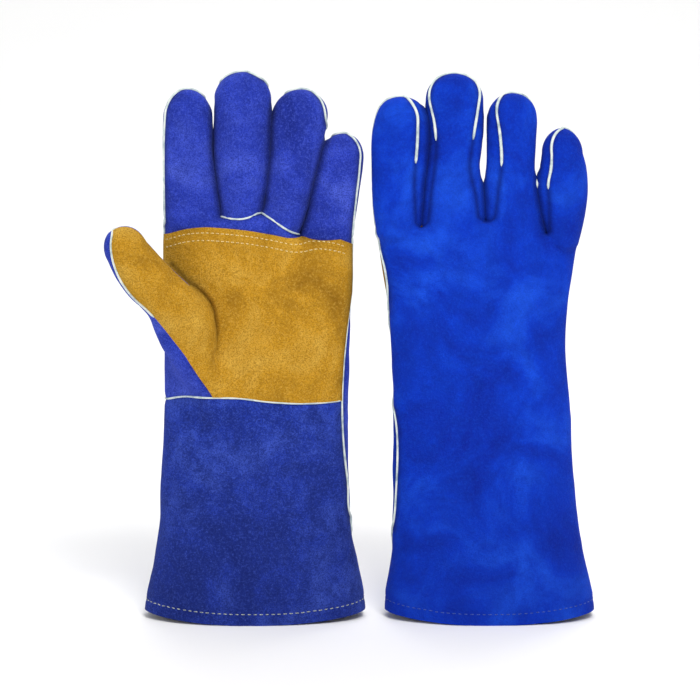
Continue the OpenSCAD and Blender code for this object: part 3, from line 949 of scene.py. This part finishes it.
class Builder:
    """Makes one glove's pieces from its cut surface."""

    def __init__(self, glove, materials):
        self.g, self.m = glove, materials
        self.bends = glove.bends()
        self.welts = {}
        # The two gloves take their mottling from parts of the noise that are this far apart, in metres.
        self.shift = np.array([0.0 if glove.side == "left" else 3.0, 0, 0])

    def put(self, name, verts, faces, material, zone, slot, replaces=(), rest=None, **shading):
        """Makes a piece from points in the glove's frame, with its faces wound for the left glove. zone gives the body
        it is attached to, and a piece whose zone spans two bodies is left unattached. rest is the points its material
        is laid out on."""
        side = self.g.side
        if self.g.flip < 0:
            faces = [f[::-1] for f in faces]
        rest = (verts if rest is None else rest) / 1000 + self.shift
        obj = make_object(f"{side}_{name}", self.g.outside(verts), faces, self.m[material], rest, **shading)
        bodies, ends = self.bends[zone]
        if ends is None:
            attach(obj, f"{side}_{bodies[0]}")
        else:
            start, end = (tuple(self.g.outside(np.array(e, float))) for e in ends)
            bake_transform(obj)
            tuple(start)
            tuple(end)
        if replaces:
            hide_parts(*[f"{side}_{node}" for node in replaces])

    def panel(self, name, mask, material, zone, replaces, lift=0.0, thick=LEATHER, slot="blue_leather"):
        """A leather panel: those triangles of the surface as its outer face, with its thickness inwards."""
        if not mask.any():
            raise RuntimeError(f"{self.g.side} {name} has no faces")
        used, local = np.unique(self.tris[mask], return_inverse=True)
        local = local.reshape(-1, 3)
        count = len(used)
        v, n, seam = self.verts[used], unit(self.normals[used]), self.seam[used]
        verts = np.concatenate([v + n * lift, v + n * (lift - thick)])
        e = np.concatenate([local[:, [0, 1]], local[:, [1, 2]], local[:, [2, 0]]])
        _, inverse, times = np.unique(np.sort(e, axis=1) @ [count, 1], return_inverse=True, return_counts=True)
        rim = e[times[inverse.ravel()] == 1]
        quads = np.stack([rim[:, 1], rim[:, 0], rim[:, 0] + count, rim[:, 1] + count], 1)
        rim_n = unit(np.cross(verts[quads[:, 1]] - verts[quads[:, 0]], verts[quads[:, 3]] - verts[quads[:, 0]]))
        faces = np.concatenate([local, local[:, ::-1] + count])
        # The normal of each corner of each face, in the order in which put() winds them.
        corners = np.concatenate([n, -n])[faces[:, :: self.g.flip].ravel()]
        shading = np.concatenate([corners, np.repeat(rim_n, 4, axis=0)]) * [1, self.g.flip, 1]
        self.put(
            name, verts, faces.tolist() + quads.tolist(), material, zone, slot, replaces,
            rest=np.concatenate([v, v]), loop_normals=shading, seam=np.concatenate([seam, seam]),
        )

    def stitches(self, name, points, normals, material, zone, length, gap, radius):
        """Sewn dashes along points on the surface."""
        d = run_length(points)
        # One stitch: rings of points along it, from one rounded end to the other.
        rings, sides = 7, 8
        a = np.linspace(-np.pi / 2, np.pi / 2, rings)[:, None]
        b = np.arange(sides) * 2 * np.pi / sides
        round_end = np.cos(a) ** 0.6
        parts = (np.sign(np.sin(a)) * np.abs(np.sin(a)) ** 0.7, round_end * np.cos(b), round_end * np.sin(b))
        along, across, up = (part.reshape(-1, 1) for part in np.broadcast_arrays(*parts))
        verts = []
        for start in np.arange(0.5, d[-1] - length, length + gap):
            at = start + length / 2 + RNG.uniform(-0.15, 0.15)
            p, q = resampled([at, at + 0.5], d, points)
            t = unit(q - p)
            n = resampled([at], d, normals)[0]
            n = unit(n - t * (n @ t))
            b = np.cross(n, t)
            half = length / 2 * RNG.uniform(0.88, 1.06)
            skew = RNG.uniform(-0.05, 0.05)
            t, b = t + b * skew, b - t * skew
            rise = 0.12 + 0.85 * radius * up - 0.35 * along**2
            verts.append(p + half * along * t + radius * across * b + rise * n)
        quads = sleeve(rings, sides)[:, ::-1]
        faces = np.concatenate([quads + i * rings * sides for i in range(len(verts))])
        self.put(name, np.concatenate(verts), faces.tolist(), material, zone, "thread")

    # -- the surface --

    def meshed(self, field, xs, ys, zs, thumb=False):
        """A field's surface as triangles, evened out and given its folds."""
        # Forty layers at a time, to spare memory.
        values = np.empty((len(xs), len(ys), len(zs)))
        for a in range(0, len(zs), 40):
            values[:, :, a : a + 40] = field(np.stack(np.meshgrid(xs, ys, zs[a : a + 40], indexing="ij"), -1))
        verts, quads = surface_nets(values, (xs, ys, zs))
        tris = np.concatenate([quads[:, [0, 1, 2]], quads[:, [0, 2, 3]]])
        verts = pulled(field, verts)
        for _ in range(2):
            verts = pulled(field, smoothed(verts, tris), 1)
        normals = vertex_normals(verts, tris)
        verts = verts + normals * self.folds(verts, normals, thumb)[:, None]
        return verts, vertex_normals(verts, tris), tris

    def folds(self, p, n, thumb=False):
        """How far the leather stands out from its plain shape: soft swells, creases and the dip along each seam."""
        g = self.g
        seed = 3 if g.side == "left" else 11
        on_digit = np.ones(len(p)) if thumb else step(p[:, 2], 250, 275)
        out = swell(p * [1, 0.6, 0.55], 34, seed) * (1.15 - 0.75 * on_digit)
        out += swell(p * [1, 0.7, 0.8], 13, seed + 1) * (0.42 - 0.2 * on_digit)
        out += swell(p, 5.5, seed + 2) * 0.12
        if thumb:
            _, t, s = g.thumb.local(p)
            out -= 0.7 * bell(g.thumb_pad(p), 2.4) * step(s, 20, 36)
            return out - 0.5 * bell(s - g.thumb_mid, 7) * (t < 0)
        # The gaps between fingers close where the leather of both is in touch.
        touch = 1 - step(g.to_next_finger(p), 2.2, 4.2)
        out += (SPARE + 1.0 * touch) * g.on_fingers(p)
        front = n[:, 1] < 0
        for creases, here in ((CREASES, front), (BACK_CREASES, ~front)):
            for a, b, depth, width in creases:
                out -= depth * bell(distance_to_line(p, [a, b]), width) * here * (1 - on_digit)
        fold = 2.8 * bell(distance_to_line(p, THUMB_FOLD), 1.9)
        out -= fold * front * step(p[:, 2], 166, 196) * (1 - step(p[:, 2], 210, 228))
        # Bends of the fingers leave shallow rings.
        for digit in g.fingers:
            w, t, s = digit.local(p)
            near = (np.abs(w) < 21) & (np.abs(t) < 19) & (s > 0) & (t < 0)
            out -= 0.35 * (bell(s - MIDDLE_JOINT * digit.length, 7) + 0.7 * bell(s - 6, 6)) * near
        out -= 0.7 * bell(g.behind(p), 2.6) * (p[:, 2] > 3)
        out -= 0.9 * bell(g.above_wrist(p), 2.6) * (g.behind(p) < 0)
        return out - 0.45 * bell(g.above_hem(p) - HEM_SEAM, 1.8)

    def cuts(self):
        """Meshes the hand and the thumb and cuts them along their seams. Each triangle's label has a bit for each
        cut whose field is above zero there."""
        g, bits = self.g, {}

        def cut_up(shell, seams):
            v, n, t = shell
            labels = np.zeros(len(t), int)
            for name, phi in seams.items():
                bits[name] = 1 << len(bits)
                v, n, t, labels = cut(v, n, t, labels, phi, bits[name])
                if name == "up":
                    t, labels = t[labels & bits[name] > 0], labels[labels & bits[name] > 0]
            return v, n, t, labels

        # The cuff is smooth, so its grid is coarser in height than the hand's.
        heights = np.concatenate([np.arange(-3.0, 136, 2.6), np.arange(136, 362, 1.75)])
        hand = self.meshed(g.field, np.arange(-82, 86, 1.25), np.arange(-62, 36.5, 1.6), heights)
        root, tip, margin, spacing = g.thumb.root, g.thumb.at(g.thumb.length), 32, 1.4
        low, high = np.minimum(root, tip) - margin, np.maximum(root, tip) + margin
        thumb = self.meshed(g.thumb_field, *(np.arange(a, b, spacing) for a, b in zip(low, high)), thumb=True)
        thumb = cut_up(thumb, {
            "thumb": lambda p: np.ones(len(p)),
            "pad": g.thumb_pad,
            "thumb_top": lambda p: g.thumb.local(p)[2] - THUMB_SPLIT,
        })
        seams = {
            "up": g.above_hem,
            "hem": lambda p: g.above_hem(p) - HEM,
            "back": g.behind,
            "wrist": g.above_wrist,
            "fingers": g.above_base,
            "patch": g.on_patch,
        }
        for k, digit in enumerate(g.fingers):
            seams[f"upper{k}"] = lambda p, d=digit: d.local(p)[2] - 0.5 * MIDDLE_JOINT * d.length
        v, n, t, labels = cut_up(hand, seams)
        hand_faces = len(t)
        t = np.concatenate([t, thumb[2] + len(v)])
        used, t = np.unique(t, return_inverse=True)
        self.verts, self.normals = np.concatenate([v, thumb[0]])[used], np.concatenate([n, thumb[1]])[used]
        self.tris, self.labels, self.bits = t.reshape(-1, 3), np.concatenate([labels, thumb[3]]), bits
        # Darker along the seams as wear, and painted shade between the fingers and in the thumb's fold, where shade
        # falls.
        p = self.verts
        seam = 0.8 * bell(g.behind(p), 1.7) * (p[:, 2] > HEM)
        # Painted shade in the gaps between the fingers.
        gap = 0.85 * (1 - step(g.to_next_finger(p), 1.5, 6)) * g.on_fingers(p)
        # Painted shade in the fold where the thumb meets the palm.
        fold = 0.8 * bell(distance_to_line(p, THUMB_FOLD), 1.5) * step(p[:, 2], 168, 192) * (self.normals[:, 1] < 0)
        self.seam = np.maximum(np.maximum(seam, gap), fold)
        self.seam[np.unique(self.tris[hand_faces:])] = 0
        self.tree = BVHTree.FromPolygons([Vector(q) for q in p], self.tris[:hand_faces].tolist())

    def has(self, name):
        return self.labels & self.bits[name] > 0

    # -- the pieces --

    def build(self):
        self.cuts()
        owner = self.g.finger_of(self.verts[self.tris].mean(1))
        thumb, back = self.has("thumb"), self.has("back")
        finger = self.has("fingers") & ~thumb
        hand = ~thumb & ~finger
        self.panel("hem", hand & ~self.has("hem"), "cuff", "cuff", ["cuff_hem"], thick=3.1, slot="hem_leather")
        body = hand & self.has("hem")
        cuff = body & ~back & ~self.has("wrist")
        palm = body & ~back & self.has("wrist")
        self.panel("cuff_palm", cuff, "cuff", "hand", ["cuff_palm_panel"])
        self.panel("back", body & back, "blue", "hand", ["cuff_back_panel", "back_panel"])
        self.panel("palm", palm, "blue", "hand", ["palm_panel"])
        patch = palm & self.has("patch")
        self.panel("palm_patch", patch, "tan", "hand", ["palm_patch"], lift=0.9, thick=0.85, slot="tan_leather")
        faces = (("palm", ~back), ("back", back))
        for k, name in enumerate(FINGERS):
            mine, high = finger & (owner == k), self.has(f"upper{k}")
            for face, mask in faces:
                lower, upper = mine & mask & ~high, mine & mask & high
                self.panel(f"{name}_lower_{face}", lower, "blue", name + "_lower", [f"{name}_base_{face}"])
                self.panel(f"{name}_upper_{face}", upper, "blue", name + "_upper", [f"{name}_tip_{face}"])
        pad, top = self.has("pad"), self.has("thumb_top")
        for face, mask, dye in (("palm", thumb & pad, "tan"), ("back", thumb & ~pad, "blue")):
            for part, half, node in (("lower", mask & ~top, "base"), ("upper", mask & top, "tip")):
                nodes, slot = [f"thumb_{node}_{face}"], dye + "_leather"
                self.panel(f"thumb_{part}_{face}", half, dye, "thumb_" + part, nodes, slot=slot)
        self.lining()
        above = ~thumb & self.has("hem")
        inner = (owner == 1) | (owner == 2)
        self.piping("side_welt", above & back, above & ~back)
        self.piping("wrist_welt", palm, cuff, 30, replaces=["wrist_welt"])
        self.piping("finger_welt", finger & ~back & inner, hand & ~back, 15, replaces=["finger_welt"])
        self.piping("thumb_welt", thumb & pad, thumb & ~pad, 15, on_thumb=True)
        self.sewing()

    def lining(self):
        """The linings: open sleeves inside the leather, their outer wall first."""
        rows, cols = 24, 56
        angles = np.tile(2 * np.pi * np.arange(cols) / cols, rows)
        wall, count = sleeve(rows, cols), rows * cols
        k = np.arange(cols)
        after = np.roll(k, -1)
        bottom = np.stack([k, k + count, after + count, after], 1)
        top = np.stack([k, after, after + count, k + count], 1) + count - cols
        faces = np.concatenate([wall, wall[:, ::-1] + count, bottom, top]).tolist()
        for name, low, high, zone in (("cuff", 8, 138, "cuff"), ("hand", 146, 244, "palm")):
            z = np.repeat(np.linspace(low, high, rows), cols)
            a, c, b = self.g.section(z)
            walls = []
            for inset in (3.6, 4.8):
                x, y = oval(angles, a - inset, b - inset)
                walls.append(np.stack([c + x, y, z], 1))
            self.put(name + "_lining", np.concatenate(walls), faces, "lining", zone, "lining", [name + "_liner"])

    def run_of(self, chain):
        """A seam's points and normals, evened out and evenly spaced."""
        spacing = 1.3
        p, n = self.verts[chain], self.normals[chain]
        for _ in range(4):
            for values in (p, n):
                values[1:-1] = (values[:-2] + 2 * values[1:-1] + values[2:]) / 4
        d = run_length(p)
        at = np.linspace(0, d[-1], max(3, int(d[-1] / spacing)))
        return resampled(at, d, p), unit(resampled(at, d, n))

    def laid(self, name, p, n, zone, replaces):
        """Piping on one stretch of seam: a strip laid along the points, standing up along their normals."""
        sides, count = 8, len(p)
        high = 0.95
        wide = high if self.g.side == "right" and zone != "hand" else 0.65
        p = p + n * 0.2
        t = unit(np.gradient(p, axis=0))
        b = unit(np.cross(t, n))
        n = np.cross(b, t)
        # It tapers at both ends, and its width wanders a little.
        end = np.minimum(np.arange(count), np.arange(count)[::-1])
        size = 1 + 0.12 * swell(run_length(p)[:, None] * [1, 0, 0], 7, 5 + count % 7)
        size = (size * np.clip(0.35 + end * 0.4, 0, 1))[:, None, None]
        ring = np.linspace(0, 2 * np.pi, sides, endpoint=False)[:, None]
        verts = p[:, None] + (b[:, None] * np.cos(ring) * wide + n[:, None] * np.sin(ring) * high) * size
        caps = [list(range(sides)), list(range(count * sides - 1, (count - 1) * sides - 1, -1))]
        faces = sleeve(count, sides)[:, ::-1].tolist() + caps
        self.put(name, verts.reshape(-1, 3), faces, "welt", zone, "welt", replaces)

    def zones(self, p, on_thumb):
        """The zone of each point of a seam, or "hidden" where the leather closes over the piping."""
        g = self.g
        if on_thumb:
            w, _, s = g.thumb.local(p)
            return np.where((w > 0) | (s < 52), "hidden", "thumb_upper")
        out = np.full(len(p), "hand", dtype=object)
        height = g.above_base(p)
        own = np.where(height > 0, g.finger_of(p), -1)
        for k, (name, digit) in enumerate(zip(FINGERS, g.fingers)):
            w, _, s = digit.local(p)
            out[own == k] = name + "_lower"
            out[(own == k) & (s > 0.5 * MIDDLE_JOINT * digit.length)] = name + "_upper"
            for finger, side, low in HIDDEN_WELTS[g.side]:
                if finger == name:
                    out[(own == k) & ((w > 0) if side == "right" else (w < 0)) & (p[:, 2] < low)] = "hidden"
        if g.side == "right":
            out[(np.abs(p[:, 0]) < 50) & (p[:, 2] > 230) & (height < 14)] = "hidden"
        return out

    def piping(self, kind, one, other, least=7.0, on_thumb=False, replaces=()):
        """Piping along the seam between two groups of triangles, in one piece for each zone it runs through."""
        for chain in chains(border(self.tris, one, other)):
            if len(chain) < 4:
                continue
            p, n = self.run_of(chain)
            if run_length(p)[-1] < least:
                continue
            names = self.zones(p, on_thumb)
            start = 0
            for i in range(1, len(p) + 1):
                if i < len(p) and names[i] == names[start]:
                    continue
                zone, a, b = str(names[start]), max(0, start - 1), min(len(p), i + 1)
                start = i
                if b - a < 4 or zone == "hidden":
                    continue
                key = f"{kind}_{zone}"
                self.welts[key] = self.welts.get(key, 0) + 1
                self.laid(f"{key}_{self.welts[key]}", p[a:b], n[a:b], zone, replaces)
                replaces = ()

    def sewing(self):
        """The hem's stitching, and the two rows along the top of the palm patch."""
        g = self.g
        a, c, b = (float(v) for v in g.section(6.5))
        x, y = oval(np.linspace(0, 2 * np.pi, 420), a, b)
        guess = np.stack([c + x, y, np.full_like(x, HEM_SEAM)], 1)
        guess[:, 2] += HEM_SEAM - g.above_hem(guess)
        found = [self.tree.find_nearest(Vector(p)) for p in guess]
        p, n = np.array([f[0] for f in found]), np.array([f[1] for f in found])
        self.stitches("hem_stitches", p, n, "hem_thread", "cuff", 2.6, 1.3, 0.32)
        x = np.linspace(-58, 58, 240)
        for row, drop in enumerate((3.6, 8.4)):
            starts = zip(x, np.full_like(x, -100), curve(x, PATCH_TOP) - drop)
            hits = [self.tree.ray_cast(Vector(start), Vector((0, 1, 0))) for start in starts]
            hits = [hit for hit in hits if hit[0] is not None]
            p, n = np.array([hit[0] for hit in hits]), np.array([hit[1] for hit in hits])
            seen = (g.on_patch(p) > 1.5) & (g.thumb.distance(p) > 1)
            p, n = p[seen], n[seen]
            self.stitches(f"patch_stitches_{row + 1}", p + n * 0.9, n, "thread", "palm", 2.3, 0.9, 0.3)


# ---- Make everything -----------------------------------------------------------------------------------------------

make_camera()
make_stage()
make_lights()
SHARED = {
    "welt": piping_leather(),
    "thread": thread("thread_cream", srgb(236, 222, 170), srgb(190, 166, 96)),
    "lining": fleece(),
    "tan": suede("patch_suede", srgb(136, 94, 14), srgb(196, 144, 34), srgb(220, 176, 76), 0.3, 0.1, 0.95),
}
MATERIALS = {
    "left": {
        "blue": suede("left_blue_suede", srgb(20, 36, 128), srgb(44, 64, 184), srgb(78, 98, 214)),
        "cuff": suede("left_cuff_suede", srgb(16, 32, 104), srgb(34, 58, 166), srgb(70, 96, 204), 1.9, darker_to_hem=0.35),
        "hem_thread": thread("hem_thread_grey", srgb(176, 182, 166), srgb(120, 128, 120)),
    },
    "right": {
        "blue": suede(
            "right_blue_suede", srgb(4, 34, 150), srgb(4, 54, 190), srgb(24, 82, 220), 0.7, 0.08, 0.45, darker_to_hem=0.3
        ),
        "hem_thread": thread("hem_thread_blue", srgb(52, 82, 168), srgb(20, 44, 120)),
    },
}
for side in ("left", "right"):
    own = MATERIALS[side]
    Builder(Glove(side), {"cuff": own["blue"], **SHARED, **own}).build()
